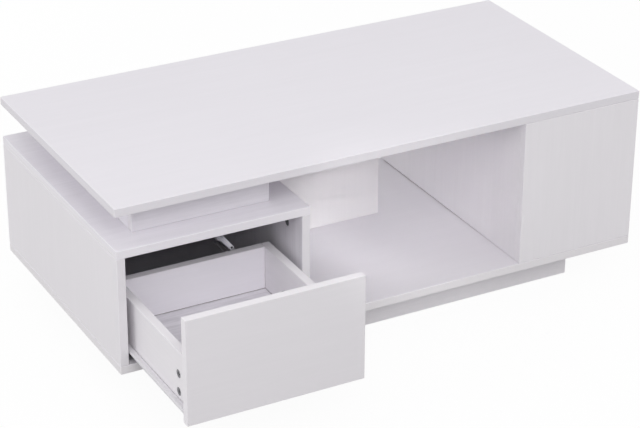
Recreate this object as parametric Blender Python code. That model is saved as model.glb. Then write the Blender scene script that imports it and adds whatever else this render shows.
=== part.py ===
"""Coffee table with a light slot under its top, an open middle and one drawer.

White melamine boards stand on a set-back plinth. The left unit holds a drawer on roller
runners, a riser frame carries the top above it, and the right unit is a closed box.
Lengths are metres, +Z is up, +X runs along the table and -Y is its front. The origin is
on the floor under the middle of the top. The drawer stands open, as in use.
"""

import math

import bmesh
import bpy
from mathutils import Matrix, Vector

# Overall size and the board that everything is cut from
LENGTH = 1.000
DEPTH = 0.495
HEIGHT = 0.360
BOARD = 0.015
GAP = 0.0003
EDGE_EASE = 0.0007

# Plinth, light slot and riser frame
PLINTH_HEIGHT = 0.060
PLINTH_FRONT_SETBACK = 0.050
PLINTH_END_SETBACK = 0.100
SLOT_HEIGHT = 0.060
RISER_INSET = 0.050

# Units along the length, measured from the left end, and the divider between them
DRAWER_UNIT_WIDTH = 0.347
DIVIDER_END = 0.643
DIVIDER_FRONT = 0.290
RIGHT_UNIT_WIDTH = 0.235

# Drawer
DRAWER_OPEN = 0.218
FRONT_SIDE_GAP = 0.002
FRONT_TOP_GAP = 0.0055
FRONT_BOTTOM_GAP = 0.0025
DRAWER_SIDE_LENGTH = 0.300
DRAWER_SIDE_TOP = 0.183
DRAWER_SIDE_BOTTOM = 0.0805
DRAWER_FLOOR_TOP = 0.103
DRAWER_FLOOR_THICKNESS = 0.0035
GROOVE_DEPTH = 0.006
GROOVE_SLACK = 0.0009

# Roller runners: one side takes 12.5 mm between the wall and the drawer
RUNNER_SPACE = 0.0125
RUNNER_LENGTH = 0.300
RUNNER_START = 0.019
RUNNER_BASE = 0.076
STEEL = 0.0012
BEND_RADIUS = 0.0012
CHANNEL_HEIGHT = 0.0185
CHANNEL_REACH = 0.0102
CHANNEL_LIP = 0.0032
ROLLER_NOTCH = 0.027
CABINET_ROLLER_RADIUS = 0.010
CABINET_ROLLER_RISE = 0.0115
CABINET_ROLLER_INSET = 0.014
DRAWER_ROLLER_RADIUS = 0.00775
DRAWER_ROLLER_RISE = 0.00925
DRAWER_ROLLER_INSET = 0.012

# Cam locks, drilled on the 32 mm system
CAM_RADIUS = 0.0072
CAM_HEIGHT = 0.0120
CAM_POCKET_RADIUS = 0.0075
CAM_POCKET_DEPTH = 0.0125
CAM_SPACING = 0.032
DRAWER_CAM_SETBACK = 0.037
DRAWER_CAM_RISE = 0.030
WALL_CAM_SETBACK = 0.055
WALL_CAM_EDGE = 0.034
BOLT_GRIP = 0.0105

# Push latch under the drawer bay's top panel
LATCH_FROM_LEFT = 0.192
LATCH_DROP = 0.0133
LATCH_HOUSING_START = 0.022
LATCH_HOUSING_LENGTH = 0.078
LATCH_BODY_RADIUS = 0.0082
LATCH_BORE_RADIUS = 0.0064
PLUNGER_RADIUS = 0.0060
PLUNGER_TIP_RADIUS = 0.0041
PLUNGER_TIP_LENGTH = 0.0215
PLUNGER_LENGTH = 0.062
PLUNGER_REACH = 0.022
STRIKE_RADIUS = 0.008
STRIKE_THICKNESS = 0.001

# Light strips, their controller and the socket
STRIP_WIDTH = 0.008
STRIP_THICKNESS = 0.0024
STRIP_FROM_RISER = 0.006
CONTROLLER_SIZE = (0.060, 0.024, 0.014)
SOCKET_RADIUS = 0.0042
LEAD_RADIUS = 0.0011

# Places worked out from the sizes above
LEFT = -LENGTH / 2
RIGHT = LENGTH / 2
FRONT = -DEPTH / 2
REAR = DEPTH / 2
TOP_UNDERSIDE = HEIGHT - BOARD
FLOOR_TOP = PLINTH_HEIGHT + BOARD
UNIT_TOP = TOP_UNDERSIDE - SLOT_HEIGHT
BAY_CEILING = UNIT_TOP - BOARD
UNIT_RIGHT = LEFT + DRAWER_UNIT_WIDTH
BAY_LEFT = LEFT + BOARD
BAY_RIGHT = UNIT_RIGHT - BOARD
INNER_WALL_LEFT = RIGHT - RIGHT_UNIT_WIDTH
DRAWER_BOX_LEFT = BAY_LEFT + RUNNER_SPACE
DRAWER_BOX_RIGHT = BAY_RIGHT - RUNNER_SPACE
DRAWER_BOX_FRONT = FRONT + BOARD + GAP
DRAWER_BOX_REAR = DRAWER_BOX_FRONT + DRAWER_SIDE_LENGTH
RISER_LEFT = LEFT + RISER_INSET
RISER_RIGHT = UNIT_RIGHT - RISER_INSET
RISER_FRONT = FRONT + RISER_INSET
RISER_REAR = REAR - RISER_INSET

ROUND_SEGMENTS = 24
SMALL_SEGMENTS = 16


def clear_scene():
    """Remove whatever the file opened with."""
    for item in list(bpy.data.objects):
        bpy.data.objects.remove(item, do_unlink=True)


def screen_colour(red, green, blue):
    """Turn an 8-bit screen colour into the linear colour that a shader takes."""
    linear = []
    for value in (red, green, blue):
        share = value / 255
        linear.append(share / 12.92 if share <= 0.04045 else ((share + 0.055) / 1.055) ** 2.4)
    return (*linear, 1.0)


def make_material(name, colour, roughness, metallic=0.0):
    """A plain Principled material in one colour."""
    material = bpy.data.materials.new(name)
    material.use_nodes = True
    shader = material.node_tree.nodes["Principled BSDF"]
    shader.inputs["Base Color"].default_value = colour
    shader.inputs["Roughness"].default_value = roughness
    shader.inputs["Metallic"].default_value = metallic
    material.diffuse_color = colour
    return material


def add_object(name, mesh, material=None, parent=None, location=(0, 0, 0)):
    """Link a mesh as an object, with its place given in its parent's frame."""
    item = bpy.data.objects.new(name, mesh)
    bpy.context.scene.collection.objects.link(item)
    item.location = location
    item.parent = parent
    if material is not None:
        item.data.materials.append(material)
    return item


def mesh_from(name, build):
    """Fill a new mesh from a bmesh that the build function shapes."""
    shape = bmesh.new()
    build(shape)
    bmesh.ops.recalc_face_normals(shape, faces=shape.faces)
    mesh = bpy.data.meshes.new(name)
    shape.to_mesh(mesh)
    shape.free()
    return mesh


def block_mesh(name, size):
    """A cuboid of the given size, centred on its origin."""
    def build(shape):
        bmesh.ops.create_cube(shape, size=1.0, matrix=Matrix.Diagonal((*size, 1.0)))
    return mesh_from(name, build)


def middle_and_size(x, y, z):
    """Middle point and size of a block given by its three spans."""
    middle = tuple((low + high) / 2 for low, high in (x, y, z))
    size = tuple(high - low for low, high in (x, y, z))
    return middle, size


def ease_edges(item, width):
    """Ease every sharp edge of an object with a small chamfer."""
    bevel = item.modifiers.new("eased_edges", "BEVEL")
    bevel.width = width
    bevel.segments = 1
    bevel.limit_method = "ANGLE"


def board(name, x, y, z, material, parent=None, edge=EDGE_EASE):
    """A board with its edges eased, given by its spans along the three axes."""
    middle, size = middle_and_size(x, y, z)
    item = add_object(name, block_mesh(name, size), material, parent, middle)
    ease_edges(item, edge)
    return item


def combine(item, tool, operation):
    """Apply a Boolean with a guide object that isn't part of the table."""
    tool.hide_render = True
    tool.display_type = "WIRE"
    boolean = item.modifiers.new(operation.lower(), "BOOLEAN")
    boolean.operation = operation
    boolean.solver = "EXACT"
    boolean.object = tool


def cut_block(item, x, y, z, parent=None):
    """Cut a square-edged space out of an object."""
    middle, size = middle_and_size(x, y, z)
    name = item.name + "_space"
    combine(item, add_object(name, block_mesh(name, size), None, parent, middle), "DIFFERENCE")


def turned_mesh(name, outline, segments=ROUND_SEGMENTS):
    """Turn an outline of (radius, height) points into a solid of revolution about Z."""
    def build(shape):
        points = [shape.verts.new((radius, 0, height)) for radius, height in outline]
        edges = [shape.edges.new((a, b)) for a, b in zip(points, points[1:])]
        if outline[0][0] > 0:
            edges.append(shape.edges.new((points[-1], points[0])))
        bmesh.ops.spin(shape, geom=points + edges, cent=(0, 0, 0), axis=(0, 0, 1),
                       angle=math.tau, steps=segments, use_merge=True)
        bmesh.ops.remove_doubles(shape, verts=shape.verts, dist=1e-6)
    return mesh_from(name, build)


def aim(item, direction):
    """Turn an object so that its Z axis points along a direction."""
    item.rotation_euler = Vector(direction).to_track_quat("Z", "Y").to_euler()


def turned(name, outline, place, direction, material=None, parent=None, segments=ROUND_SEGMENTS):
    """A turned piece at a place, with its axis along a direction."""
    item = add_object(name, turned_mesh(name, outline, segments), material, parent, place)
    aim(item, direction)
    item.data.shade_smooth()
    item.data.set_sharp_from_angle(angle=math.radians(35))
    return item


def drill(item, place, direction, radius, depth, parent=None, segments=SMALL_SEGMENTS):
    """Drill a round hole: place is on the surface and direction points out of the hole."""
    over = 0.001
    outline = [(0, -depth), (radius, -depth), (radius, over), (0, over)]
    tool = turned(item.name + "_drill", outline, place, direction, None, parent, segments)
    combine(item, tool, "DIFFERENCE")


def extruded(name, outline, start, length, axes, material=None, parent=None, location=(0, 0, 0)):
    """Extrude an outline of 2-D points: axes name the outline's two axes and the run."""
    across, up, along = (("X", "Y", "Z").index(letter) for letter in axes)

    def build(shape):
        corners = []
        for first, second in outline:
            point = [0.0, 0.0, 0.0]
            point[across] = first
            point[up] = second
            point[along] = start
            corners.append(shape.verts.new(point))
        face = shape.faces.new(corners)
        run = [0.0, 0.0, 0.0]
        run[along] = length
        copy = bmesh.ops.extrude_face_region(shape, geom=[face])
        moved = [part for part in copy["geom"] if isinstance(part, bmesh.types.BMVert)]
        bmesh.ops.translate(shape, verts=moved, vec=run)

    return add_object(name, mesh_from(name, build), material, parent, location)


def bent_outline(path, thickness, bend, steps=3):
    """Outline of a sheet bent along a path, with an arc round each fold.

    On a fold the two faces are arcs about one centre, half a thickness to either side of
    the arc that the middle of the sheet follows.
    """
    half = thickness / 2
    points = [Vector(point) for point in path]
    one_side = []
    other_side = []
    for index, point in enumerate(points):
        if index in (0, len(points) - 1):
            near = points[1] - points[0] if index == 0 else points[-1] - points[-2]
            normal = Vector((-near.y, near.x)).normalized()
            one_side.append(point + normal * half)
            other_side.append(point - normal * half)
            continue
        before = (point - points[index - 1]).normalized()
        after = (points[index + 1] - point).normalized()
        side = 1.0 if before.x * after.y - before.y * after.x > 0 else -1.0
        angle = before.angle(after)
        start = point - before * bend * math.tan(angle / 2)
        centre = start + Vector((-before.y, before.x)) * side * bend
        spoke = (start - centre).normalized()
        for step in range(steps + 1):
            ray = Matrix.Rotation(side * angle * step / steps, 2) @ spoke
            one_side.append(centre + ray * (bend - side * half))
            other_side.append(centre + ray * (bend + side * half))
    return one_side + other_side[::-1]


def make_boards(white):
    """The fixed boards: bottom, top, the two units, the riser frame and the divider."""
    whole_length = (LEFT, RIGHT)
    whole_depth = (FRONT, REAR)
    under_top = (FLOOR_TOP + GAP, TOP_UNDERSIDE - GAP)
    bay_height = (FLOOR_TOP + GAP, BAY_CEILING - GAP)
    riser_height = (UNIT_TOP + GAP, TOP_UNDERSIDE - GAP)
    between_fronts = (FRONT + BOARD + GAP, REAR - BOARD - GAP)
    right_front = (INNER_WALL_LEFT, RIGHT)

    board("tabletop", whole_length, whole_depth, (TOP_UNDERSIDE, HEIGHT), white)
    board("bottom_board", whole_length, whole_depth, (PLINTH_HEIGHT, FLOOR_TOP), white)

    left_side = board("left_side_panel", (LEFT, BAY_LEFT), whole_depth, bay_height, white)
    bay_wall = board("bay_right_wall", (BAY_RIGHT, UNIT_RIGHT), whole_depth, bay_height, white)
    board("bay_top_panel", (LEFT, UNIT_RIGHT), whole_depth, (BAY_CEILING, UNIT_TOP), white)
    board("left_rear_panel", (BAY_LEFT + GAP, BAY_RIGHT - GAP), (REAR - BOARD, REAR), bay_height, white)

    riser_depth = (RISER_FRONT + BOARD + GAP, RISER_REAR - BOARD - GAP)
    riser_width = (RISER_LEFT, RISER_RIGHT)
    board("riser_front", riser_width, (RISER_FRONT, RISER_FRONT + BOARD), riser_height, white)
    riser_rear = board("riser_rear", riser_width, (RISER_REAR - BOARD, RISER_REAR), riser_height, white)
    board("riser_left", (RISER_LEFT, RISER_LEFT + BOARD), riser_depth, riser_height, white)
    board("riser_right", (RISER_RIGHT - BOARD, RISER_RIGHT), riser_depth, riser_height, white)

    divider_depth = (FRONT + DIVIDER_FRONT, FRONT + DIVIDER_FRONT + BOARD)
    board("divider_panel", (UNIT_RIGHT + GAP, LEFT + DIVIDER_END), divider_depth, under_top, white)

    inner_wall = (INNER_WALL_LEFT, INNER_WALL_LEFT + BOARD)
    board("right_inner_wall", inner_wall, between_fronts, under_top, white)
    board("right_side_panel", (RIGHT - BOARD, RIGHT), between_fronts, under_top, white)
    board("right_front_panel", right_front, (FRONT, FRONT + BOARD), under_top, white)
    board("right_rear_panel", right_front, (REAR - BOARD, REAR), under_top, white)
    return left_side, bay_wall, riser_rear


def make_plinth(white):
    """A frame of rails on edge, set back from the front, rear and ends."""
    low_high = (0.0, PLINTH_HEIGHT - GAP)
    x_left = LEFT + PLINTH_END_SETBACK
    x_right = RIGHT - PLINTH_END_SETBACK
    y_front = FRONT + PLINTH_FRONT_SETBACK
    y_rear = REAR - PLINTH_FRONT_SETBACK
    between = (y_front + BOARD + GAP, y_rear - BOARD - GAP)
    board("plinth_front", (x_left, x_right), (y_front, y_front + BOARD), low_high, white)
    board("plinth_rear", (x_left, x_right), (y_rear - BOARD, y_rear), low_high, white)
    board("plinth_left", (x_left, x_left + BOARD), between, low_high, white)
    board("plinth_right", (x_right - BOARD, x_right), between, low_high, white)
    board("plinth_cross_rail", (-BOARD / 2, BOARD / 2), between, low_high, white)


def make_drawer(white, hardboard, slide):
    """The drawer's five boards, in the closed drawer's place under the sliding empty."""
    front_x = (BAY_LEFT + FRONT_SIDE_GAP, BAY_RIGHT - FRONT_SIDE_GAP)
    front_z = (FLOOR_TOP + FRONT_BOTTOM_GAP, BAY_CEILING - FRONT_TOP_GAP)
    side_y = (DRAWER_BOX_FRONT, DRAWER_BOX_REAR)
    side_z = (DRAWER_SIDE_BOTTOM, DRAWER_SIDE_TOP)
    inner_left = DRAWER_BOX_LEFT + BOARD
    inner_right = DRAWER_BOX_RIGHT - BOARD
    back_y = (DRAWER_BOX_REAR - BOARD, DRAWER_BOX_REAR)

    front = board("drawer_front", front_x, (FRONT, FRONT + BOARD), front_z, white, slide)
    left = board("drawer_left_side", (DRAWER_BOX_LEFT, inner_left), side_y, side_z, white, slide)
    right = board("drawer_right_side", (inner_right, DRAWER_BOX_RIGHT), side_y, side_z, white, slide)
    back = board("drawer_back", (inner_left + GAP, inner_right - GAP), back_y, side_z, white, slide)

    floor_z = (DRAWER_FLOOR_TOP - DRAWER_FLOOR_THICKNESS, DRAWER_FLOOR_TOP)
    groove_z = (floor_z[0] - GAP, floor_z[1] + GROOVE_SLACK)
    groove_x = (inner_left - GROOVE_DEPTH, inner_right + GROOVE_DEPTH)
    groove_y = (FRONT + BOARD - GROOVE_DEPTH, back_y[0] + GROOVE_DEPTH)
    floor_x = (groove_x[0] + GAP, groove_x[1] - GAP)
    floor_y = (groove_y[0] + GAP, groove_y[1] - GAP)
    board("drawer_bottom", floor_x, floor_y, floor_z, hardboard, slide, edge=0.0003)
    for piece in (left, right):
        cut_block(piece, groove_x, (side_y[0] - BOARD, groove_y[1]), groove_z, slide)
    for piece in (front, back):
        cut_block(piece, groove_x, groove_y, groove_z, slide)
    return front, left, right


def cam_lock(name, place, outward, zinc, parent=None):
    """A cam lock with a cross recess, its face flush with the board at place."""
    ease = 0.0005
    face = -GAP
    back = -CAM_HEIGHT - GAP
    outline = [(0, face), (CAM_RADIUS - ease, face), (CAM_RADIUS, face - ease), (CAM_RADIUS, back), (0, back)]
    lock = turned(name, outline, place, outward, zinc, parent, SMALL_SEGMENTS)
    arm = 0.0040
    web = 0.0009
    depth = 0.0028
    cross = [(web, web), (web, arm), (-web, arm), (-web, web), (-arm, web), (-arm, -web),
             (-web, -web), (-web, -arm), (web, -arm), (web, -web), (arm, -web), (arm, web)]
    recess = extruded(name + "_recess", cross, -depth, 2 * depth, "XYZ", None, parent, place)
    aim(recess, outward)
    combine(lock, recess, "DIFFERENCE")
    return lock


def make_drawer_joints(front, sides, zinc, steel, slide):
    """Two cam locks and two bolts on each side, which pull the sides onto the front."""
    levels = (("lower", DRAWER_SIDE_BOTTOM + DRAWER_CAM_RISE),
              ("upper", DRAWER_SIDE_BOTTOM + DRAWER_CAM_RISE + CAM_SPACING))
    hands = (("left", sides[0], DRAWER_BOX_LEFT, -1.0), ("right", sides[1], DRAWER_BOX_RIGHT, 1.0))
    cam_y = DRAWER_BOX_FRONT + DRAWER_CAM_SETBACK
    reach = DRAWER_CAM_SETBACK - CAM_POCKET_RADIUS - GAP
    neck = 0.0045
    bolt = [(0, -BOLT_GRIP), (0.0020, -BOLT_GRIP), (0.0025, -BOLT_GRIP + 0.0008), (0.0025, 0),
            (0.0035, 0), (0.0035, 0.003), (0.0030, 0.003), (0.0030, reach - 2 * neck),
            (0.0018, reach - 2 * neck + 0.001), (0.0018, reach - neck), (0.0032, reach - neck + 0.001),
            (0.0032, reach), (0, reach)]
    for hand, side, face_x, outward in hands:
        bolt_x = face_x - outward * BOARD / 2
        for level, height in levels:
            place = (face_x, cam_y, height)
            drill(side, place, (outward, 0, 0), CAM_POCKET_RADIUS, CAM_POCKET_DEPTH, slide)
            start = (bolt_x, DRAWER_BOX_FRONT, height)
            drill(side, start, (0, -1, 0), 0.004, DRAWER_CAM_SETBACK, slide)
            drill(front, (bolt_x, FRONT + BOARD, height), (0, 1, 0), 0.0028, BOLT_GRIP + 0.001, slide)
            cam_lock(f"drawer_cam_{hand}_{level}", place, (outward, 0, 0), zinc, slide)
            turned(f"drawer_cam_bolt_{hand}_{level}", bolt, (bolt_x, FRONT + BOARD + GAP, height),
                   (0, 1, 0), steel, slide, 12)


def make_wall_joints(left_side, bay_wall, zinc):
    """Cam locks in the drawer bay's two walls, which hold the top panel and the bottom board."""
    hands = (("left", left_side, BAY_LEFT, 1.0), ("right", bay_wall, BAY_RIGHT, -1.0))
    levels = (("top", BAY_CEILING - WALL_CAM_EDGE), ("bottom", FLOOR_TOP + WALL_CAM_EDGE))
    ends = (("front", FRONT + WALL_CAM_SETBACK), ("rear", REAR - WALL_CAM_SETBACK))
    for hand, wall, face_x, outward in hands:
        for level, height in levels:
            for end, along in ends:
                place = (face_x, along, height)
                drill(wall, place, (outward, 0, 0), CAM_POCKET_RADIUS, CAM_POCKET_DEPTH)
                cam_lock(f"bay_cam_{hand}_{level}_{end}", place, (outward, 0, 0), zinc)


def roller_outline(radius, width):
    """Half section of a roller: a bore, a rim with eased corners and a dish in each side."""
    half = width / 2
    bore = 0.0026
    ease = 0.0007
    dish = 0.0008
    hub = bore + 0.0016
    web = radius - 0.0016
    return [(bore, -half), (hub, -half), (hub + ease, -half + dish), (web - ease, -half + dish),
            (web, -half), (radius - ease, -half), (radius, -half + ease), (radius, half - ease),
            (radius - ease, half), (web, half), (web - ease, half - dish), (hub + ease, half - dish),
            (hub, half), (bore, half)]


def make_runners(side, wall_x, inward, coated, nylon, slide):
    """Both members of one roller runner, with a roller riveted to each.

    The cabinet member is a channel that opens towards the drawer. Its roller stands at the
    front, where the flanges are cut away, and carries the drawer member's top flange. The
    drawer member wraps under the drawer's side, and its roller runs inside the channel.
    """
    def across(distance):
        return wall_x + inward * distance

    def section(path):
        return bent_outline([(across(x), RUNNER_BASE + z) for x, z in path], STEEL, BEND_RADIUS)

    half = STEEL / 2
    web_x = GAP + half
    edge_x = CHANNEL_REACH - half
    top_z = CHANNEL_HEIGHT - half
    channel = [(edge_x, CHANNEL_LIP), (edge_x, half), (web_x, half), (web_x, top_z), (edge_x, top_z),
               (edge_x, CHANNEL_HEIGHT - CHANNEL_LIP)]
    y_start = FRONT + RUNNER_START
    cabinet = extruded(f"cabinet_runner_{side}", section(channel), y_start, RUNNER_LENGTH, "XZY", coated)
    notch_x = sorted((across(GAP + STEEL + 0.00005), across(RUNNER_SPACE)))
    cut_block(cabinet, notch_x, (y_start - 0.001, y_start + ROLLER_NOTCH),
              (RUNNER_BASE - 0.001, RUNNER_BASE + CHANNEL_HEIGHT + 0.001))
    for hole_y in (0.045, 0.141, 0.237, 0.285):
        place = (across(GAP + STEEL), y_start + hole_y, RUNNER_BASE + CHANNEL_HEIGHT / 2)
        drill(cabinet, place, (inward, 0, 0), 0.0022, 0.003, segments=12)

    drawer_web = RUNNER_SPACE - GAP - half
    flange_z = 0.0224
    under_z = DRAWER_SIDE_BOTTOM - GAP - half - RUNNER_BASE
    hook = [(0.0027, flange_z - 0.0033), (0.0027, flange_z), (drawer_web, flange_z), (drawer_web, under_z),
            (drawer_web + 0.0119, under_z)]
    drawer = extruded(f"drawer_runner_{side}", section(hook), DRAWER_BOX_FRONT, RUNNER_LENGTH,
                      "XZY", coated, slide)
    for hole_y in (0.030, 0.126, 0.222):
        place = (across(RUNNER_SPACE - GAP - STEEL), DRAWER_BOX_FRONT + hole_y, RUNNER_BASE + 0.013)
        drill(drawer, place, (-inward, 0, 0), 0.0022, 0.003, slide, segments=12)

    # Rivet of the cabinet roller: shoulder, shaft and head, one piece with the channel
    front_y = y_start + CABINET_ROLLER_INSET
    front_z = RUNNER_BASE + CABINET_ROLLER_RISE
    front_width = 0.0056
    front_x = 0.0037
    rivet = [(0, web_x), (0.0036, web_x), (0.0036, front_x - 0.0004), (0.0022, front_x - 0.0004),
             (0.0022, front_x + front_width + 0.0004), (0.0034, front_x + front_width + 0.0004),
             (0.0028, front_x + front_width + 0.0012), (0, front_x + front_width + 0.0012)]
    combine(cabinet, turned(f"cabinet_rivet_{side}", rivet, (wall_x, front_y, front_z), (inward, 0, 0),
                            segments=16), "UNION")
    turned(f"cabinet_roller_{side}", roller_outline(CABINET_ROLLER_RADIUS, front_width),
           (across(front_x + front_width / 2), front_y, front_z), (inward, 0, 0), nylon)

    # Rivet of the drawer roller, one piece with the drawer member
    rear_y = DRAWER_BOX_FRONT + RUNNER_LENGTH - DRAWER_ROLLER_INSET
    rear_z = RUNNER_BASE + DRAWER_ROLLER_RISE
    rear_width = 0.0050
    rear_x = 0.0036
    rivet = [(0, drawer_web), (0.0032, drawer_web), (0.0032, rear_x + rear_width + 0.0004),
             (0.0022, rear_x + rear_width + 0.0004), (0.0022, rear_x - 0.0004), (0.0032, rear_x - 0.0004),
             (0.0026, rear_x - 0.0012), (0, rear_x - 0.0012)]
    combine(drawer, turned(f"drawer_rivet_{side}", rivet, (wall_x, rear_y, rear_z), (inward, 0, 0),
                           None, slide, 16), "UNION")
    turned(f"drawer_roller_{side}", roller_outline(DRAWER_ROLLER_RADIUS, rear_width),
           (across(rear_x + rear_width / 2), rear_y, rear_z), (inward, 0, 0), nylon, slide)


def make_latch(plastic, steel, slide):
    """A push latch under the bay's top panel, whose plunger meets a plate on the drawer front."""
    middle_x = LEFT + LATCH_FROM_LEFT
    axis_z = BAY_CEILING - LATCH_DROP
    top = BAY_CEILING - GAP
    foot_half = 0.015
    foot = 0.003
    y_start = FRONT + LATCH_HOUSING_START
    arc = [(middle_x + LATCH_BODY_RADIUS * math.cos(angle), axis_z + LATCH_BODY_RADIUS * math.sin(angle))
           for angle in (math.pi * (1 + step / 12) for step in range(13))]
    saddle = [(middle_x - foot_half, top), (middle_x - foot_half, top - foot),
              (middle_x - LATCH_BODY_RADIUS, top - foot), *arc,
              (middle_x + LATCH_BODY_RADIUS, top - foot), (middle_x + foot_half, top - foot),
              (middle_x + foot_half, top)]
    housing = extruded("latch_housing", saddle, y_start, LATCH_HOUSING_LENGTH, "XZY", plastic)
    drill(housing, (middle_x, y_start, axis_z), (0, -1, 0), LATCH_BORE_RADIUS, LATCH_HOUSING_LENGTH - 0.004,
          segments=24)
    for side in (-1, 1):
        for along in (0.012, LATCH_HOUSING_LENGTH - 0.012):
            place = (middle_x + side * 0.0118, y_start + along, top - foot)
            drill(housing, place, (0, 0, -1), 0.0018, foot + 0.001, segments=12)

    tip = 0.0008
    hole = 0.0022
    outline = [(0, 0.006), (hole, 0.006), (hole, 0), (PLUNGER_TIP_RADIUS - tip, 0), (PLUNGER_TIP_RADIUS, tip),
               (PLUNGER_TIP_RADIUS, PLUNGER_TIP_LENGTH), (PLUNGER_RADIUS - tip, PLUNGER_TIP_LENGTH),
               (PLUNGER_RADIUS, PLUNGER_TIP_LENGTH + tip), (PLUNGER_RADIUS, PLUNGER_LENGTH - tip),
               (PLUNGER_RADIUS - tip, PLUNGER_LENGTH), (0, PLUNGER_LENGTH)]
    turned("latch_plunger", outline, (middle_x, FRONT - PLUNGER_REACH, axis_z), (0, 1, 0), plastic,
           segments=24)

    plate_y = FRONT + BOARD + GAP
    plate = [(0, 0), (STRIKE_RADIUS, 0), (STRIKE_RADIUS, STRIKE_THICKNESS - 0.0003),
             (STRIKE_RADIUS - 0.0003, STRIKE_THICKNESS), (0, STRIKE_THICKNESS)]
    turned("strike_plate", plate, (middle_x, plate_y, axis_z), (0, 1, 0), steel, slide, 24)


def make_lighting(strip, plastic, dark, riser_rear):
    """Light strips stuck under the top round the riser, and what feeds them inside it."""
    z_span = (TOP_UNDERSIDE - GAP - STRIP_THICKNESS, TOP_UNDERSIDE - GAP)
    near = STRIP_FROM_RISER
    far = STRIP_FROM_RISER + STRIP_WIDTH
    x_span = (RISER_LEFT - far, RISER_RIGHT + far)
    y_span = (RISER_FRONT - near + GAP, RISER_REAR + near - GAP)
    board("led_strip_front", x_span, (RISER_FRONT - far, RISER_FRONT - near), z_span, strip)
    board("led_strip_rear", x_span, (RISER_REAR + near, RISER_REAR + far), z_span, strip)
    board("led_strip_left", (RISER_LEFT - far, RISER_LEFT - near), y_span, z_span, strip)
    board("led_strip_right", (RISER_RIGHT + near, RISER_RIGHT + far), y_span, z_span, strip)

    width, depth, height = CONTROLLER_SIZE
    middle_x = (RISER_LEFT + RISER_RIGHT) / 2
    wall_y = RISER_REAR - BOARD
    case_y = (wall_y - 0.004 - depth, wall_y - 0.004)
    case_z = (UNIT_TOP + GAP, UNIT_TOP + GAP + height)
    board("led_controller", (middle_x - width / 2, middle_x + width / 2), case_y, case_z, plastic, edge=0.0012)

    socket_x = middle_x - width / 4
    socket_z = UNIT_TOP + height / 2 + GAP
    pin = 0.0012
    mouth = 0.0030
    outline = [(0, -BOARD - 0.0035), (SOCKET_RADIUS, -BOARD - 0.0035), (SOCKET_RADIUS, GAP),
               (0.0064, GAP), (0.0064, 0.0011), (0.0059, 0.0016), (mouth, 0.0016), (mouth, -0.008),
               (pin, -0.008), (pin, 0.0), (0, 0.0)]
    turned("power_socket", outline, (socket_x, RISER_REAR, socket_z), (0, 1, 0), dark, segments=24)
    drill(riser_rear, (socket_x, RISER_REAR, socket_z), (0, 1, 0), SOCKET_RADIUS + GAP, BOARD + 0.002)

    # The lead rises from the controller, turns to the rear and passes through a notch
    lead_x = middle_x + width / 4
    end_y = RISER_REAR + near - GAP
    end_z = TOP_UNDERSIDE - GAP - STRIP_THICKNESS / 2
    notch_z = (end_z - 0.006, TOP_UNDERSIDE)
    cut_block(riser_rear, (lead_x - 0.003, lead_x + 0.003), (wall_y - 0.001, RISER_REAR + 0.001), notch_z)
    start_y = (case_y[0] + case_y[1]) / 2
    start_z = case_z[1] + GAP
    points = []
    for step in range(19):
        turn = math.pi / 2 * step / 18
        along = 1 - math.cos(turn) ** 0.6
        up = math.sin(turn) ** 0.6
        points.append((lead_x, start_y + (end_y - start_y) * along, start_z + (end_z - start_z) * up))
    curve = bpy.data.curves.new("led_lead", "CURVE")
    curve.dimensions = "3D"
    curve.bevel_depth = LEAD_RADIUS
    curve.bevel_resolution = 2
    curve.use_fill_caps = True
    spline = curve.splines.new("POLY")
    spline.points.add(len(points) - 1)
    for knot, point in zip(spline.points, points):
        knot.co = (*point, 1.0)
    add_object("led_lead", curve, plastic)


def main():
    """Build the whole table."""
    clear_scene()
    white = make_material("white_melamine", screen_colour(227, 226, 230), 0.42)
    hardboard = make_material("white_hardboard", screen_colour(214, 213, 219), 0.5)
    coated = make_material("coated_steel", screen_colour(218, 218, 220), 0.35)
    nylon = make_material("nylon", screen_colour(205, 205, 200), 0.4)
    zinc = make_material("zinc", screen_colour(120, 120, 122), 0.35, 0.9)
    steel = make_material("plated_steel", screen_colour(170, 170, 172), 0.3, 1.0)
    grey_plastic = make_material("grey_plastic", screen_colour(178, 178, 182), 0.4)
    dark_plastic = make_material("dark_plastic", screen_colour(38, 38, 40), 0.45)
    silicone = make_material("milky_silicone", screen_colour(232, 233, 236), 0.3)

    left_side, bay_wall, riser_rear = make_boards(white)
    make_plinth(white)

    slide = bpy.data.objects.new("drawer_slide", None)
    bpy.context.scene.collection.objects.link(slide)
    slide.location = (0, -DRAWER_OPEN, 0)
    front, *sides = make_drawer(white, hardboard, slide)
    make_drawer_joints(front, sides, zinc, steel, slide)
    make_wall_joints(left_side, bay_wall, zinc)
    make_runners("left", BAY_LEFT, 1.0, coated, nylon, slide)
    make_runners("right", BAY_RIGHT, -1.0, coated, nylon, slide)
    make_latch(grey_plastic, steel, slide)
    make_lighting(silicone, grey_plastic, dark_plastic, riser_rear)


main()
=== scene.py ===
"""White coffee table with a light slot and an open drawer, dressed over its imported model."""

import math

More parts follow.
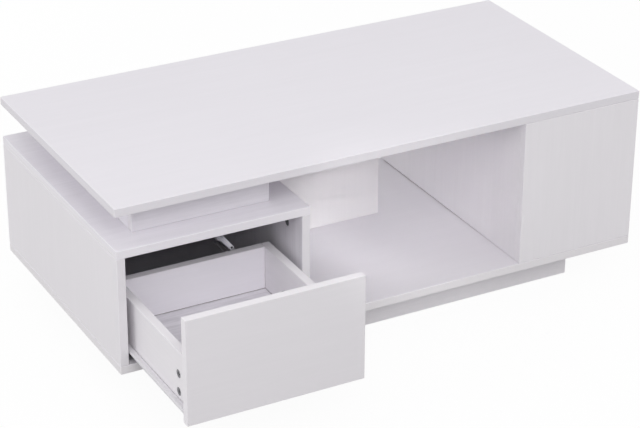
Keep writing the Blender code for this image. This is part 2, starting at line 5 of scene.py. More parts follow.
import bmesh
import bpy
import numpy as np
from mathutils import Euler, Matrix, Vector


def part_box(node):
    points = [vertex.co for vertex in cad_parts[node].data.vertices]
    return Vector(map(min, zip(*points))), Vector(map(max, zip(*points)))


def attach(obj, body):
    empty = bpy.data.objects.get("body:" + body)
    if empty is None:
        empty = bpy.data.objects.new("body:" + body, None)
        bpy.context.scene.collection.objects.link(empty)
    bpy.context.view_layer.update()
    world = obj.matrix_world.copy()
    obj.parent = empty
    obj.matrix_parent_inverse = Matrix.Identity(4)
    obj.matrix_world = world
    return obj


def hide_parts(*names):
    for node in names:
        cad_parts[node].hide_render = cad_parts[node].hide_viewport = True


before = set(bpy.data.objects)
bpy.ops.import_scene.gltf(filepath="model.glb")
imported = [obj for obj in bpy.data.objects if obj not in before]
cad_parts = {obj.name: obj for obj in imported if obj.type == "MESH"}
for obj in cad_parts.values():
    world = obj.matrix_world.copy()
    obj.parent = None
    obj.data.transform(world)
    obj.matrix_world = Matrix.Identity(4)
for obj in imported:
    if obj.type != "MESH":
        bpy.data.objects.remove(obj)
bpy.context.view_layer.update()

# Boards
# Chipboard, 15 mm thick, faced with white melamine that carries a faint pressed grain.
# The cut edges are covered with a thin plastic band whose corners are scraped round.


class Field:
    """A number that varies over a surface, so that shader maths reads as plain sums."""

    def __init__(self, shading, socket):
        self.shading = shading
        self.socket = socket

    def _sum(self, operation, first, second=None):
        values = {0: first} if second is None else {0: first, 1: second}
        return self.shading.node("Math", {"operation": operation}, values)

    def __add__(self, other):
        return self._sum("ADD", self, other)

    __radd__ = __add__

    def __sub__(self, other):
        return self._sum("SUBTRACT", self, other)

    def __rsub__(self, other):
        return self._sum("SUBTRACT", other, self)

    def __mul__(self, other):
        return self._sum("MULTIPLY", self, other)

    __rmul__ = __mul__

    def __mod__(self, other):
        return self._sum("FLOORED_MODULO", self, other)

    def __pow__(self, other):
        return self._sum("POWER", self, other)

    def __abs__(self):
        return self._sum("ABSOLUTE", self)


def screen(red, green, blue):
    """Linear colour of an 8-bit screen colour."""
    share = np.array((red, green, blue)) / 255
    linear = np.where(share <= 0.04045, share / 12.92, ((share + 0.055) / 1.055) ** 2.4)
    return (*(float(part) for part in linear), 1.0)


class Shading:
    """A node tree, written down node by node on the object's own coordinates."""

    def __init__(self, tree):
        self.tree = tree

    def put(self, socket, value):
        """Link a field to a socket, or write a constant on it."""
        if isinstance(value, Field):
            self.tree.links.new(value.socket, socket)
        else:
            socket.default_value = value

    def node(self, kind, settings=None, values=None, output=0):
        """Add a node: its settings first, then the values or links of its sockets."""
        node = self.tree.nodes.new("ShaderNode" + kind)
        for name, value in (settings or {}).items():
            setattr(node, name, value)
        for name, value in (values or {}).items():
            self.put(node.inputs[name], value)
        return Field(self, node.outputs[output])

    def axis(self, name):
        """One object coordinate in metres."""
        return self.node("SeparateXYZ", None, {"Vector": self.node("TexCoord", output="Object")}, name)

    def noise(self, scale, stretch=(1, 1, 1), detail=3.0, roughness=0.5, warp=0.0):
        """Soft noise from 0 to 1, scale lumps to the metre, along stretched axes."""
        point = self.node("TexCoord", output="Object")
        point = self.node("Mapping", None, {"Vector": point, "Scale": stretch})
        values = {"Vector": point, "Scale": scale, "Detail": detail, "Roughness": roughness,
                  "Distortion": warp}
        return self.node("TexNoise", {"noise_dimensions": "3D"}, values)

    def ramp(self, value, low, high):
        """Carry a span of values smoothly onto 0 to 1."""
        values = {"Value": value, "From Min": low, "From Max": high}
        return self.node("MapRange", {"interpolation_type": "SMOOTHSTEP"}, values)

    def blend(self, share, first, second):
        """Mix two colours by a share from 0 to 1."""
        return self.node("Mix", {"data_type": "RGBA"}, {0: share, 6: first, 7: second}, 2)

    def away(self, first, second, centre):
        """Distance from the line on which two object coordinates equal a centre."""
        return ((self.axis(first) - centre[0]) ** 2 + (self.axis(second) - centre[1]) ** 2) ** 0.5


class Finish(Shading):
    """A material on one Principled shader."""

    def __init__(self, name, constants):
        self.material = bpy.data.materials.new(name)
        self.material.use_nodes = True
        super().__init__(self.material.node_tree)
        self.shader = self.tree.nodes["Principled BSDF"]
        for socket, value in constants.items():
            self.shader.inputs[socket].default_value = value

    def colour(self, value):
        self.put(self.shader.inputs["Base Color"], value)

    def roughness(self, value):
        self.put(self.shader.inputs["Roughness"], value)

    def bump(self, height, distance, strength=1.0):
        """Tilt the surface by a height from 0 to 1 that stands for a distance in metres."""
        values = {"Height": height, "Distance": distance, "Strength": strength}
        self.put(self.shader.inputs["Normal"], self.node("Bump", None, values))


EDGE_BAND, PALE_BAND = screen(227, 224, 228), screen(238, 235, 239)


def melamine(name, thin, grain, levels=(232, 236), band_colour=EDGE_BAND, patch=None, blue=3):
    """White melamine on boards that are thin along one axis, with the grain along another.

    The faces carry long faint streaks. Where the normal leaves the thin axis the edge band shows instead, a
    little darker and without grain. A patch is a place with another colour, such as painted shade: it takes
    the finish and returns the place's share and colour. Levels are the 8-bit greys of the darkest and the
    lightest streaks, and blue is how far they lean from red to blue; both are set board by board as painted
    light and shade.
    """
    finish = Finish(name, {"Specular IOR Level": 0.35})
    along = {"X": (0.05, 1, 1), "Y": (1, 0.05, 1), "Z": (1, 1, 0.05)}[grain]
    fine, broad = finish.noise(240.0, along, 4.0, 0.65, 0.3), finish.noise(60.0, along, 2.0, 0.5, 0.2)
    streaks = fine * 0.6 + broad * 0.4
    pores = finish.noise(700.0, tuple(value * 0.6 + 0.02 for value in along), 2.0, 0.5)
    clouds = finish.noise(3.0, (1, 1, 1), 2.0, 0.5)
    normal = finish.node("TexCoord", output="Normal")
    facing = abs(finish.node("SeparateXYZ", None, {"Vector": normal}, thin))
    band = finish.ramp(facing, 0.85, 0.2)
    dark, light = (screen(level, level - 3, level + blue) for level in levels)
    coat = finish.blend(finish.ramp(streaks * 0.7 + clouds * 0.3, 0.2, 0.85), dark, light)
    coat = finish.blend(band, coat, band_colour)
    if patch:
        share, colour = patch(finish)
        coat = finish.blend(share, coat, colour)
    finish.colour(coat)
    finish.roughness(0.42 + streaks * 0.12 - band * 0.06)
    finish.bump((pores * 0.5 + streaks * 0.5) * (1 - band), 0.00012, 0.5)
    return finish.material


def within(finish, low, high, edge=0.0001):
    """1 inside a box of object coordinates and 0 outside it, with a soft edge."""
    shares = [1 - finish.ramp(abs(finish.axis(name) - (start + end) / 2), (end - start) / 2 - edge,
                              (end - start) / 2 + edge) for name, start, end in zip("XYZ", low, high)]
    return shares[0] * shares[1] * shares[2]


def chipboard(finish):
    """The colour of bare chipboard, from its darker to its lighter chips. It also serves as the colour of
    painted shade.
    """
    return finish.blend(finish.noise(700.0, (1, 1, 1), 3.0, 0.6), screen(84, 77, 72), screen(128, 118, 108))


def dress(material, *nodes):
    """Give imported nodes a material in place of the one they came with."""
    for name in nodes:
        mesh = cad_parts[name].data
        mesh.materials.clear()
        mesh.materials.append(material)


def bay_painted_shade(finish):
    """Painted shade: grey on the inner faces of the drawer's bay, from 14 mm behind its front, standing in
    for the shade deep inside the bay.
    """
    low, high = (-0.4860, -0.2330, 0.0745), (-0.1670, 0.2330, 0.2705)
    shade_mottle = finish.noise(400.0, (1, 1, 1), 3.0, 0.6)
    shade_grey = finish.blend(shade_mottle, screen(186, 184, 190), screen(200, 198, 204))
    return within(finish, low, high, edge=0.0004), shade_grey


# Height, margin and fade of the painted shade along the bottom of the inner wall.
FOOT_HEIGHT, FOOT_MARGIN = 0.0012, Vector((0.01, 0.01, 0.01))
FOOT_FADE, FOOT_FULL = -0.20, 0.0


def foot_painted_shade(finish):
    """Painted shade along the bottom edge of the inner wall: a band in the colour of bare chipboard just
    above the floor, fading out towards the front.
    """
    low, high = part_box("right_inner_wall")
    share = within(finish, low - FOOT_MARGIN, (high.x, high.y, low.z + FOOT_HEIGHT))
    return share * finish.ramp(finish.axis("Y"), FOOT_FADE, FOOT_FULL), chipboard(finish)


# The boards are one white melamine, but their levels, blue lean and band colours are set lighter or darker
# board by board, as painted light and shade for how the light falls on each.
dress(melamine("melamine_tabletop", "Z", "X", band_colour=screen(225, 222, 227)), "tabletop")
# The bottom board, the bay's top panel and its rear panel carry painted shade inside the drawer's bay.
dress(melamine("melamine_bottom", "Z", "X", (231, 235), screen(231, 228, 231), bay_painted_shade, 2), "bottom_board")
dress(melamine("melamine_bay_top", "Z", "X", (232, 245), screen(234, 231, 236), bay_painted_shade), "bay_top_panel")
dress(melamine("melamine_bay_rear", "Y", "Z", (232, 236), EDGE_BAND, bay_painted_shade), "left_rear_panel")
dress(melamine("melamine_divider", "Y", "Z", (231, 236), PALE_BAND, blue=-1), "divider_panel")
dress(melamine("melamine_front", "Y", "Z", (231, 236), PALE_BAND, blue=1), "right_front_panel",
      "right_rear_panel")
dress(melamine("melamine_riser", "Y", "X", (214, 231)), "riser_front", "riser_rear")
dress(melamine("melamine_plinth", "Y", "X", (237, 243), PALE_BAND, blue=1), "plinth_front", "plinth_rear")
dress(melamine("melamine_side", "X", "Z", (231, 236), blue=1), "left_side_panel", "right_side_panel")
dress(melamine("melamine_bay_wall", "X", "Z", (220, 240)), "bay_right_wall")
dress(melamine("melamine_side_rail", "X", "Y"), "riser_left", "riser_right", "plinth_left", "plinth_right",
      "plinth_cross_rail")
dress(melamine("melamine_inner_wall", "X", "Z", (234, 240), PALE_BAND, foot_painted_shade, 1), "right_inner_wall")

# Cam locks of the walls
# Cast zinc discs of 15 mm in pockets of the drawer unit's walls. A cross recess takes the
# driver, and an arrow at the edge points to the bolt that the disc pulls tight.


def lathe(outline, around=72):
    """Turn an outline of (along, radius) once round its axis.

    Point (i, j) is (along i, radius i * cos angle j, radius i * sin angle j).
    """
    along, radius = np.array(outline, float).T
    angle = np.linspace(0, 2 * np.pi, around, endpoint=False)
    rows = along[:, None] + 0 * angle
    return np.stack([rows, radius[:, None] * np.cos(angle), radius[:, None] * np.sin(angle)], -1)


def step(value, low, high):
    """0 below low, 1 above high, and an even curve between them."""
    share = np.clip((value - low) / (high - low), 0, 1)
    return share * share * (3 - 2 * share)


def cross(face, half, reach):
    """1 inside a cross of two arms, from their half width and their reach, and 0 outside it."""
    side, up = np.abs(face[..., 1]), np.abs(face[..., 2])
    thin = 1 - step(np.minimum(side, up), 0.85 * half, 1.15 * half)
    return thin * (1 - step(np.maximum(side, up), 0.88 * reach, reach))


def stand(points, centre, axis, towards=1):
    """Carry turned points to a centre, with the turning axis along x, y or z of the table."""
    along, side, up = points[..., 0] * towards, points[..., 1], points[..., 2]
    order = {"x": (along, side, up), "y": (side, along, up), "z": (side, up, along)}[axis]
    return np.stack(order, -1) + np.array(centre)


def solid(name, points, material, body, nodes=(), ring=False):
    """Make a closed piece from points[row, column], where columns run once round.

    Rows run from pole to pole, or once round as well on a ring. Doubled points are merged,
    the faces are turned outwards, and corners above 35 degrees stay crisp.
    """
    rows, columns = points.shape[:2]
    here = np.arange(rows * columns).reshape(rows, columns)
    below = np.roll(here, -1, 0)
    quads = np.stack([here, np.roll(here, -1, 1), np.roll(below, -1, 1), below], -1)
    quads = (quads if ring else quads[:-1]).reshape(-1, 4)
    mesh = bpy.data.meshes.new(name)
    mesh.from_pydata(points.reshape(-1, 3).tolist(), [], quads.tolist())
    work = bmesh.new()
    work.from_mesh(mesh)
    bmesh.ops.remove_doubles(work, verts=work.verts, dist=1e-6)
    bmesh.ops.recalc_face_normals(work, faces=work.faces)
    work.to_mesh(mesh)
    work.free()
    mesh.polygons.foreach_set("use_smooth", np.ones(len(mesh.polygons), bool))
    mesh.set_sharp_from_angle(angle=math.radians(35))
    mesh.materials.append(material)
    item = bpy.data.objects.new(name, mesh)
    bpy.context.scene.collection.objects.link(item)
    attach(item, body)
    if nodes:
        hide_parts(*nodes)


zinc = Finish("cast_zinc", {"Metallic": 0.6})
cast = zinc.noise(900.0, (1, 1, 1), 4.0, 0.6)
zinc.colour(zinc.blend(cast, screen(92, 92, 95), screen(156, 156, 160)))
zinc.roughness(0.42 + cast * 0.2)
zinc.bump(cast, 0.00008, 0.6)


def cam_lock(node, body, towards, arrow):
    """A cam lock's disc: a polar height field for its face, then its wall and its back.

    The face is dished 0.3 mm inside its rim. The cross is 1.8 mm wide and 2.6 mm deep, and the
    arrow is a notch that narrows towards the rim, in the direction of an angle from +Y.
    """
    low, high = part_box(node)
    middle = (low + high) / 2
    radius = (high.z - low.z) / 2
    thick = high.x - low.x
    rows, chamfer = 44, 0.0004
    dish, cross_depth, notch_depth = 0.0003, 0.0026, 0.0006
    outline = np.column_stack([np.zeros(rows), np.linspace(0, radius - chamfer, rows)]).tolist()
    points = lathe(outline + [(-chamfer, radius), (-thick, radius), (-thick, 0)], 96)
    face = points[:rows]
    distance = np.hypot(face[..., 1], face[..., 2])
    angle = np.arctan2(face[..., 2], face[..., 1]) - arrow
    ahead, aside = distance * np.cos(angle), np.abs(distance * np.sin(angle))
    notch = step(ahead, 0.0043, 0.0046) * (1 - step(aside + ahead, 0.0060, 0.0063))
    face[..., 0] -= dish * (1 - step(distance, radius - 0.0011, radius - 0.0007))
    face[..., 0] -= cross_depth * cross(face, half=0.0009, reach=0.0040) + notch_depth * notch
    centre = (high.x if towards > 0 else low.x, middle.y, middle.z)
    solid(node + "_disc", stand(points, centre, "x", towards), zinc.material, body, (node,))


UP, DOWN, FORWARD = math.pi / 2, -math.pi / 2, math.pi
for end in ("front", "rear"):
    cam_lock(f"bay_cam_left_top_{end}", "table", 1, UP)
    cam_lock(f"bay_cam_right_top_{end}", "table", -1, UP)
    cam_lock(f"bay_cam_left_bottom_{end}", "table", 1, DOWN)
    cam_lock(f"bay_cam_right_bottom_{end}", "table", -1, DOWN)

# Drawer
# Front, sides and back are the same melamine board. Its bottom is thin hardboard with a white
# lacquered face, slid into a groove. Cam locks with plated bolts hold the front to the sides.


def groove_and_painted_shade(finish):
    """The bare cut that holds the bottom, 7 mm deep, and painted shade on a 0.4 mm strip of the face along
    its edge, in the same bare colour.
    """
    bottom_low, bottom_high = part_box("drawer_bottom")
    low = Vector((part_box("drawer_left_side")[1].x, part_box("drawer_front")[1].y, bottom_low.z))
    high = Vector((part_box("drawer_right_side")[0].x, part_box("drawer_back")[0].y, bottom_high.z))
    depth, height, skin = Vector((0.007, 0.007, 0)), Vector((0, 0, 0.0013)), Vector((0.0003, 0.0003, 0))
    outer = within(finish, low - depth - height, high + depth + height)
    inner = within(finish, low + skin - height * 2, high - skin + height * 2)
    return outer * (1 - inner), chipboard(finish)


# The drawer's boards are one white melamine, but the front's levels are set darker and the back's and
# sides' levels and band lighter, as painted shade and painted light. All three carry painted shade along
# the edge of the cut that holds the bottom.
DRAWER_BAND_PAINTED_LIGHT = screen(246, 243, 247)
dress(melamine("melamine_drawer_front", "Y", "X", (224, 228), PALE_BAND, groove_and_painted_shade, 1), "drawer_front")
dress(melamine("melamine_drawer_back", "Y", "X", (238, 243), DRAWER_BAND_PAINTED_LIGHT, groove_and_painted_shade), "drawer_back")
dress(melamine("melamine_drawer_side", "X", "Y", (235, 241), DRAWER_BAND_PAINTED_LIGHT, groove_and_painted_shade, 1), "drawer_left_side",
      "drawer_right_side")

hardboard = Finish("lacquered_hardboard", {"Specular IOR Level": 0.3})
fibres = hardboard.noise(60.0, (0.08, 1, 1), 4.0, 0.65, 0.6)
lacquer = hardboard.ramp(fibres, 0.25, 0.75)
hardboard.colour(hardboard.blend(lacquer, screen(214, 211, 217), screen(244, 241, 247)))
hardboard.roughness(0.45 + fibres * 0.15)
hardboard.bump(fibres, 0.0002, 0.5)
dress(hardboard.material, "drawer_bottom")

steel = Finish("plated_steel", {"Metallic": 1.0})
plating = steel.noise(500.0, (1, 1, 1), 3.0, 0.6)
steel.colour(steel.blend(plating, screen(168, 170, 172), screen(196, 197, 199)))
steel.roughness(0.28 + plating * 0.14)
steel.bump(plating, 0.00004, 0.5)

for level in ("lower", "upper"):
    cam_lock(f"drawer_cam_left_{level}", "drawer", -1, FORWARD)
    cam_lock(f"drawer_cam_right_{level}", "drawer", 1, FORWARD)
    dress(steel.material, f"drawer_cam_bolt_left_{level}", f"drawer_cam_bolt_right_{level}")

# Runners
# Bent steel sheet of 1.2 mm under white powder coat. The cabinet member is a channel screwed
# to the wall, and the drawer member wraps under the drawer's side. Rivets hold the rollers.


RIVET_RADIUS, RIVET_FADE = 0.0035, 0.0002


def powder_coat(node, rivet_axis):
    """White powder coat with a fine orange peel. Round a rivet's axis at (y, z) the plated steel shows."""
    finish = Finish(node + "_coat", {"Specular IOR Level": 0.5})
    peel = finish.noise(1400.0, (1, 1, 1), 2.0, 0.5)
    edge = (RIVET_RADIUS - RIVET_FADE, RIVET_RADIUS + RIVET_FADE)
    rivet = 1 - finish.ramp(finish.away("Y", "Z", rivet_axis), *edge)
    white = finish.blend(peel, screen(216, 214, 218), screen(226, 224, 228))
    finish.colour(finish.blend(rivet, white, screen(180, 182, 184)))
    finish.roughness(0.34 + peel * 0.08)
    finish.put(finish.shader.inputs["Metallic"], rivet)
    finish.bump(peel, 0.00005, 0.5)
    dress(finish.material, node)


def screw(name, centre, axis, towards, head, rise, shank, depth, body):
    """A plated wafer-head screw: a low dome with a cross recess, and its shank in the hole below.

    The dome's height at radius r is rise * (1 - (r / head) ^ 4).
    """
    rows = 26
    radius = np.linspace(0, head, rows)
    dome = np.column_stack([rise * (1 - (radius / head) ** 4), radius]).tolist()
    points = lathe(dome + [(0, shank), (-depth, shank), (-depth, 0)], 48)
    face = points[:rows]
    face[..., 0] -= 0.4 * (depth + rise) * cross(face, half=0.13 * head, reach=0.52 * head)
    solid(name, stand(points, centre, axis, towards), steel.material, body)


nylon = Finish("nylon", {"Specular IOR Level": 0.45})
milk = nylon.noise(300.0, (1, 1, 1), 3.0, 0.5)
nylon.colour(nylon.blend(milk, screen(196, 196, 190), screen(214, 214, 208)))
nylon.roughness(0.38 + milk * 0.12)
nylon.bump(milk, 0.00006, 0.4)


def roller(node, body):
    """A moulded nylon roller: a ring whose sides are dished between hub and rim.

    Six ribs cross each dish: its depth is 0.8 mm times an even step away from every rib.
    """
    low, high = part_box(node)
    radius, half = (high.z - low.z) / 2, (high.x - low.x) / 2
    bore, hub, rim = 0.0026, 0.0042, radius - 0.0016
    rows, rounding, corner, depth = 34, 0.0006, 0.00018, 0.0008
    reach = np.linspace(bore, radius - rounding, rows)
    near = np.column_stack([np.full(rows, -half), reach]).tolist()
    tread = [(-half + corner, radius - corner), (-half + rounding, radius),
             (half - rounding, radius), (half - corner, radius - corner)]
    far = np.column_stack([np.full(rows, half), reach[::-1]]).tolist()
    points = lathe(near + tread + far, 120)
    distance = np.hypot(points[..., 1], points[..., 2])
    angle = np.arctan2(points[..., 2], points[..., 1])
    ribs = step(np.abs(np.sin(3 * angle)) * distance / 3, 0.0003, 0.0006)
    dish = depth * ribs * step(distance, hub, hub + 0.0005) * (1 - step(distance, rim - 0.0005, rim))
    dish[rows:rows + len(tread)] = 0
    points[..., 0] -= np.sign(points[..., 0]) * dish
    solid(node + "_wheel", stand(points, (low + high) / 2, "x"), nylon.material, body, (node,), True)


CABINET_RIVET, DRAWER_RIVET = (-0.2145, 0.0875), (-0.1622, 0.08525)
CABINET_HOLES, DRAWER_HOLES = (-0.1835, -0.0875, 0.0085, 0.0565), (-0.4202, -0.3242, -0.2282)
for side, wall, inward in (("left", -0.485, 1), ("right", -0.168, -1)):
    powder_coat(f"cabinet_runner_{side}", CABINET_RIVET)
    powder_coat(f"drawer_runner_{side}", DRAWER_RIVET)
    for count, y in enumerate(CABINET_HOLES, 1):
        screw(f"cabinet_runner_{side}_screw_{count}", (wall + inward * 0.0015, y, 0.08525), "x", inward,
              head=0.0034, rise=0.0006, shank=0.0020, depth=0.0012, body="table")
    for count, y in enumerate(DRAWER_HOLES, 1):
        screw(f"drawer_runner_{side}_screw_{count}", (wall + inward * 0.0110, y, 0.0890), "x", -inward,
              head=0.0034, rise=0.0003, shank=0.0020, depth=0.0012, body="drawer")
    roller(f"cabinet_roller_{side}", f"cabinet_wheel_{side}")
    roller(f"drawer_roller_{side}", f"drawer_wheel_{side}")

# Push latch
# A dark grey plastic housing screwed under the drawer unit's top panel. Its light grey pin
# meets a round steel plate on the drawer front, so that the drawer needs no handle.


def soften(outline, ease, steps=5):
    """Round each corner of an outline with a parabola that starts and ends an ease away from it."""
    line = np.array(outline, float)
    corner, back, ahead = line[1:-1], line[:-2] - line[1:-1], line[2:] - line[1:-1]
    back_length, ahead_length = (np.linalg.norm(way, axis=1, keepdims=True) for way in (back, ahead))
    start = corner + back / back_length * np.minimum(ease, 0.45 * back_length)
    end = corner + ahead / ahead_length * np.minimum(ease, 0.45 * ahead_length)
    share = np.linspace(0, 1, steps)[:, None, None]
    arcs = (1 - share) ** 2 * start + 2 * share * (1 - share) * corner + share**2 * end
    return np.vstack([line[:1], arcs.transpose(1, 0, 2).reshape(-1, 2), line[-1:]])


grey = Finish("housing_plastic", {"Specular IOR Level": 0.4})
moulded = grey.noise(800.0, (1, 1, 1), 2.0, 0.5)
grey.colour(grey.blend(moulded, screen(86, 85, 90), screen(100, 99, 104)))
grey.roughness(0.4 + moulded * 0.1)
grey.bump(moulded, 0.00006, 0.5)
dress(grey.material, "latch_housing")

low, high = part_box("latch_plunger")
radius = (high.z - low.z) / 2
length = high.y - low.y
tip = ((low.x + high.x) / 2, low.y, (low.z + high.z) / 2)
pin = Finish("plunger_plastic", {"Specular IOR Level": 0.4})
grain = pin.noise(800.0, (1, 1, 1), 2.0, 0.5)
# The bore in the pin's tip is painted near black, as painted shade in the recess.
bore_painted_shade = 1 - pin.ramp(pin.away("X", "Z", (tip[0], tip[2])), 0.0020, 0.0022)
shell = pin.blend(grain, screen(164, 163, 170), screen(182, 181, 188))
pin.colour(pin.blend(bore_painted_shade, shell, screen(22, 22, 24)))
pin.roughness(0.4 + grain * 0.1)
pin.bump(grain, 0.00006, 0.5)
outline = [(0.006, 0), (0.006, 0.0019), (0, 0.0019), (0, 0.0036), (0.0300, 0.0047), (0.0395, 0.0049),
           (0.0405, radius), (length, radius), (length, 0)]
solid("latch_plunger_pin", stand(lathe(soften(outline, 0.0005)), tip, "y"), pin.material, "plunger",
      ("latch_plunger",))

low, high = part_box("strike_plate")
radius = (high.z - low.z) / 2
thick = high.y - low.y
rows, chamfer = 48, 0.0003
ring, ring_width = 0.0034, 0.00022
back = [(0, 0), (0, radius), (thick - chamfer, radius)]
face = np.column_stack([np.full(rows, thick), np.linspace(radius - chamfer, 0, rows)]).tolist()
points = lathe(back + face, 96)
front = points[len(back):]
distance = np.hypot(front[..., 1], front[..., 2])
turned = np.exp(-((distance - ring) / ring_width) ** 2)
front[..., 0] -= 0.0003 * turned + 0.0007 * cross(front, half=0.0005, reach=0.0019)
solid("strike_plate_disc", stand(points, ((low.x + high.x) / 2, low.y, (low.z + high.z) / 2), "y"),
      steel.material, "drawer", ("strike_plate",))

FLANGE_FACE = 0.2667
LATCH_HOLES = ((-0.3198, -0.2135), (-0.2962, -0.2135), (-0.3198, -0.1595), (-0.2962, -0.1595))
for count, (x, y) in enumerate(LATCH_HOLES, 1):
    screw(f"latch_screw_{count}", (x, y, FLANGE_FACE), "z", -1,
          head=0.0030, rise=0.0012, shank=0.0016, depth=0.0028, body="table")

# Light
# Four lengths of light tape in milky silicone, stuck under the top round the riser, so that the
# slot glows. A small controller inside the riser feeds them from a round power socket behind.


LIGHT_PITCH = 0.01667


def light_strip(node, across):
    """A half-round strip: a flat back, and a face that drops by sin(t) ^ 0.8 across its width.

    The ends are rounded by scaling the section up from a point over the first 0.8 mm. The light
    chips show through the silicone as yellow spots, one to each pitch along the strip.
    """
    low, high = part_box(node)
    middle = (low + high) / 2
    along = "Y" if across == "X" else "X"
    sides = (low.y, high.y, high.x - low.x) if across == "X" else (low.x, high.x, high.y - low.y)
    first, last, width = sides
    turn = np.linspace(0, np.pi, 21)
    ends = np.array([0, 0, 0.0002, 0.0008])
    rows = np.concatenate([first + ends, last - ends[::-1]])
    grow = np.array([0, 0.75, 0.93, 1, 1, 0.93, 0.75, 0])[:, None]
    aside = grow * np.cos(turn) * width / 2
    drop = (high.z - low.z) * (0.5 + grow * (np.abs(np.sin(turn)) ** 0.8 - 0.5))
    run = rows[:, None] + 0 * aside
    points = np.stack([middle.x + aside, run, high.z - drop] if across == "X"
                      else [run, middle.y + aside, high.z - drop], -1)
    milky = Finish(node + "_silicone", {"Specular IOR Level": 0.4})
    place = abs((milky.axis(along) - first) % LIGHT_PITCH - LIGHT_PITCH / 2)
    offset = abs(milky.axis(across) - (middle.x if across == "X" else middle.y))
    chip = (1 - milky.ramp(place, 0.0016, 0.0034)) * (1 - milky.ramp(offset, 0.0014, 0.0030))
    cloud = milky.noise(400.0, (1, 1, 1), 2.0, 0.5)
    tone = milky.blend(cloud, screen(228, 228, 231), screen(236, 236, 238))
    milky.colour(milky.blend(chip * 0.8, tone, screen(232, 214, 130)))
    milky.roughness(0.45 + cloud * 0.1)
    milky.bump(cloud, 0.00005, 0.4)
    solid(node + "_tape", points, milky.material, "table", (node,))


light_strip("led_strip_front", "Y")
light_strip("led_strip_rear", "Y")
light_strip("led_strip_left", "X")
light_strip("led_strip_right", "X")

black = Finish("black_plastic", {"Specular IOR Level": 0.45})
grain = black.noise(1100.0, (1, 1, 1), 2.0, 0.5)
black.colour(black.blend(grain, screen(30, 30, 32), screen(42, 42, 44)))
black.roughness(0.36 + grain * 0.14)
black.bump(grain, 0.00006, 0.5)
dress(black.material, "led_controller", "led_lead")

low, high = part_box("power_socket")
RISER_BACK = 0.1975
centre = ((low.x + high.x) / 2, RISER_BACK, (low.z + high.z) / 2)
inlet = Finish("socket_plastic", {"Specular IOR Level": 0.45})
contact = 1 - inlet.ramp(inlet.away("X", "Z", (centre[0], centre[2])), 0.0013, 0.0015)
speckle = inlet.noise(1100.0, (1, 1, 1), 2.0, 0.5)
shell = inlet.blend(speckle, screen(30, 30, 32), screen(42, 42, 44))
inlet.colour(inlet.blend(contact, shell, screen(190, 188, 180)))
inlet.put(inlet.shader.inputs["Metallic"], contact)
inlet.roughness(0.3 + speckle * 0.14)
inlet.bump(speckle, 0.00004, 0.5)
outline = [(-0.0185, 0), (-0.0185, 0.0042), (0.0003, 0.0042), (0.0003, 0.0064), (0.0016, 0.0062),
           (0.0016, 0.0031), (-0.008, 0.0029), (-0.008, 0.0012), (0, 0.0012), (0, 0)]
solid("power_socket_inlet", stand(lathe(soften(outline, 0.0004)), centre, "y"), inlet.material, "table",
      ("power_socket",))

# Studio
# A pale floor that keeps the table's shadow, a white surround, soft lamps in front, at the
# left and low behind, and the camera, where the photograph's perspective puts it. The last
# five lamps have narrow beams, each on the place in the open compartment it is named after.

FLOOR_HALF, FLOOR_LEVEL = 12, -0.0006
floor = bpy.data.objects.new("studio_floor", bpy.data.meshes.new("studio_floor"))
corners = [(-FLOOR_HALF, -FLOOR_HALF, FLOOR_LEVEL), (FLOOR_HALF, -FLOOR_HALF, FLOOR_LEVEL),
           (FLOOR_HALF, FLOOR_HALF, FLOOR_LEVEL), (-FLOOR_HALF, FLOOR_HALF, FLOOR_LEVEL)]
floor.data.from_pydata(corners, [], [(0, 1, 2, 3)])
bpy.context.scene.collection.objects.link(floor)


def seen(shading):
    """1 on rays by which the surround is seen, directly, in a gloss or through glass, and 0 on the rest."""
    camera_ray = shading.node("LightPath", output="Is Camera Ray")
    glossy_ray = shading.node("LightPath", output="Is Glossy Ray")
    glass_ray = shading.node("LightPath", output="Is Transmission Ray")
    return shading.ramp(camera_ray + glossy_ray + glass_ray, 0.0, 1.0)


LIT, SEEN = (0.50, 0.50, 0.50, 1.0), (0.95, 0.95, 0.95, 1.0)
paper = Finish("studio_paper", {"Roughness": 0.9, "Specular IOR Level": 0.0})
paper.colour(paper.blend(seen(paper), LIT, SEEN))
white = paper.node("Emission", None, {"Color": (1, 1, 1, 1), "Strength": 1.0})
surface = Field(paper, paper.shader.outputs[0])
mixed = paper.node("MixShader", None, {0: seen(paper) * 0.95, 1: surface, 2: white})
paper.put(paper.tree.nodes["Material Output"].inputs["Surface"], mixed)
floor.data.materials.append(paper.material)

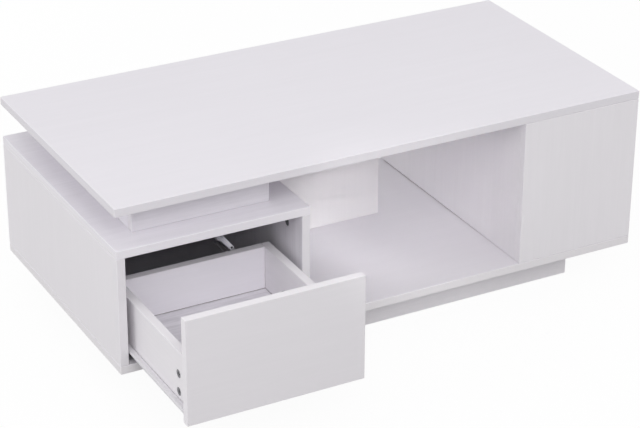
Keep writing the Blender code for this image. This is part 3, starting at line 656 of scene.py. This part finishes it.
SKY_LIGHT = 0.742
surround = bpy.data.worlds.new("studio")
bpy.context.scene.world = surround
surround.use_nodes = True
sky = Shading(surround.node_tree)
sky.put(sky.tree.nodes["Background"].inputs["Color"], (1, 1, 1, 1))
sky.put(sky.tree.nodes["Background"].inputs["Strength"], seen(sky) * (1 - SKY_LIGHT) + SKY_LIGHT)


def lamp(name, place, aim, size, watts, spread=math.pi):
    """A rectangular soft lamp at a place, turned towards a point, with its beam's angle."""
    light = bpy.data.lights.new(name, "AREA")
    light.shape = "RECTANGLE"
    light.size, light.size_y = size
    light.energy = watts
    light.spread = spread
    item = bpy.data.objects.new(name, light)
    item.location = place
    item.rotation_euler = (Vector(aim) - Vector(place)).to_track_quat("-Z", "Y").to_euler()
    bpy.context.scene.collection.objects.link(item)


lamp("front_left", (-3.00, -3.00, 2.85), (0, 0, 0.2), (2.2, 2.2), 19.0)
lamp("front", (-1.22, -3.75, 3.28), (0, 0, 0.2), (2.2, 2.2), 57.5)
lamp("low_left", (-4.93, -0.43, 0.90), (0, 0, 0.2), (1.4, 1.4), 24.5)
lamp("rear_left", (-0.75, 2.00, 0.30), (0.25, 0.10, 0.18), (0.7, 0.14), 5.5)
lamp("compartment", (-0.40, -1.48, 0.99), (0.08, -0.09, 0.125), (0.29, 0.20), 0.048, 0.12)
lamp("inner_wall", (-0.75, -1.50, 0.32), (0.265, 0.0, 0.20), (0.16, 0.16), 0.008, 0.10)
lamp("divider", (0.065, -1.75, 0.16), (0.060, 0.04, 0.190), (0.12, 0.04), 0.0044, 0.06)
lamp("bay_wall_foot", (0.45, -1.40, 0.85), (0.0, -0.04, 0.08), (0.10, 0.16), 0.018, 0.10)
lamp("wall_front", (-0.95, -1.35, 0.30), (0.265, -0.17, 0.19), (0.08, 0.16), 0.0040, 0.06)

camera = bpy.data.cameras.new("camera")
camera.sensor_width = 36.0
camera.lens = 124.561
camera.shift_y = -0.00264
eye = bpy.data.objects.new("camera", camera)
eye.location = (-1.68466, -3.11821, 1.90801)
eye.rotation_euler = Euler((math.radians(63.34), math.radians(-0.2432), math.radians(-28.2395)))
bpy.context.scene.collection.objects.link(eye)
bpy.context.scene.camera = eye
bpy.context.scene.view_settings.view_transform = "Standard"
